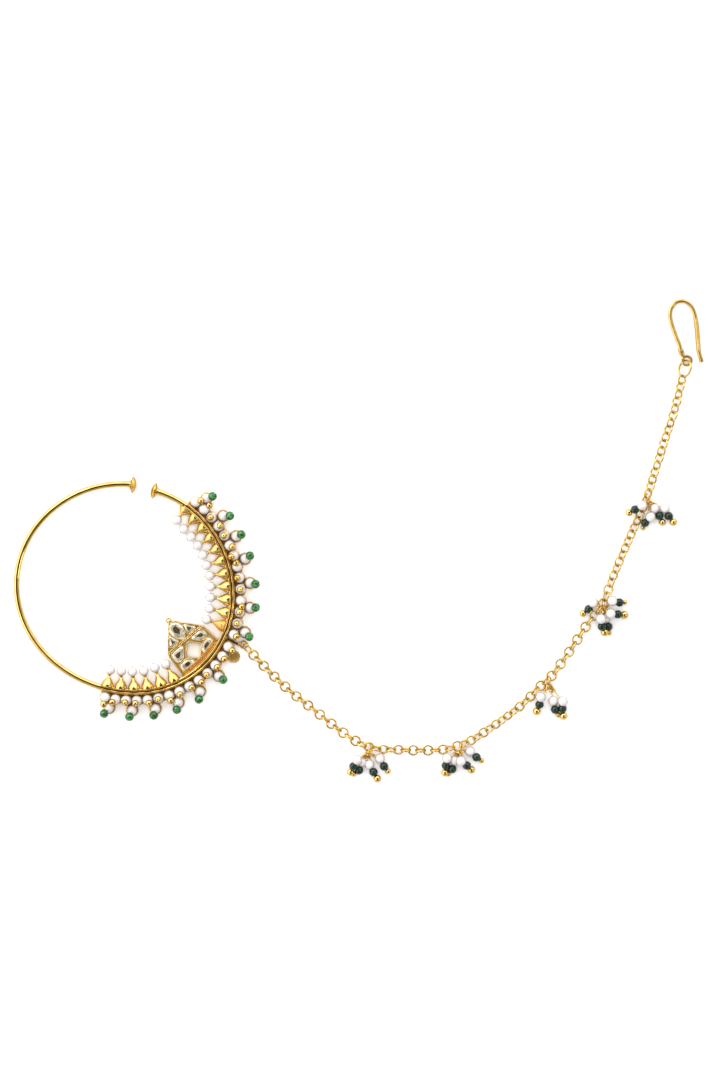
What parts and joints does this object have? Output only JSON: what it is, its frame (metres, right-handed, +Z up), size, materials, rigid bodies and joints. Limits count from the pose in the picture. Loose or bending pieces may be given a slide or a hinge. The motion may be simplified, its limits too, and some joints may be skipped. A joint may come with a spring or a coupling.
{
  "type": "nath nose ring with hair chain",
  "caption": "Open round nose hoop lying flat, with a pearl and green bead border, inward cone spikes, a kundan plaque, and a long link chain with bead drops and a hair hook.",
  "frame": {"origin": "middle of the bounding box, at the underside that lies on the floor", "axes": "+X from the hoop towards the hook, +Y towards the hook's end of the chain, +Z up out of the floor"},
  "size_m": [0.1726, 0.1194, 0.0051],
  "materials": {
    "gold": "polished yellow gold plate",
    "polki": "pale foil-backed uncut stone",
    "pearl": "white pearl lustre",
    "pearl_border": "white pearls on a gold back plate",
    "green_glass": "polished green glass",
    "drop_beads": "white pearls and dark green glass beads on gold pins"
  },
  "bodies": {
    "root": {"hoop_frame": "gold", "polki_apex": "polki", "polki_side_1": "polki", "polki_side_2": "polki", "polki_petal_1": "polki", "polki_petal_2": "polki", "polki_petal_3": "polki", "polki_petal_4": "polki", "spike_pearl_01": "pearl", "spike_pearl_02": "pearl", "spike_pearl_03": "pearl", "spike_pearl_04": "pearl", "spike_pearl_05": "pearl", "spike_pearl_06": "pearl", "spike_pearl_07": "pearl", "spike_pearl_08": "pearl", "spike_pearl_09": "pearl", "spike_pearl_10": "pearl", "spike_pearl_11": "pearl", "spike_pearl_12": "pearl", "spike_pearl_13": "pearl", "spike_pearl_14": "pearl", "spike_pearl_15": "pearl", "spike_pearl_16": "pearl", "spike_pearl_17": "pearl", "green_bead_01": "green_glass", "green_bead_02": "green_glass", "green_bead_03": "green_glass", "green_bead_04": "green_glass", "green_bead_05": "green_glass", "green_bead_06": "green_glass", "green_bead_07": "green_glass", "green_bead_08": "green_glass", "green_bead_09": "green_glass", "green_bead_10": "green_glass", "green_bead_11": "green_glass", "green_bead_12": "green_glass", "green_bead_13": "green_glass", "border_pearls_upper": "pearl_border", "border_pearls_lower": "pearl_border", "hoop_ring": "gold", "chain": "gold", "bead_cluster_1": "drop_beads", "bead_cluster_2": "drop_beads", "bead_cluster_3": "drop_beads", "bead_cluster_4": "drop_beads", "bead_cluster_5": "drop_beads", "hook_ring": "gold", "hair_hook": "gold"}
  },
  "joints": []
}
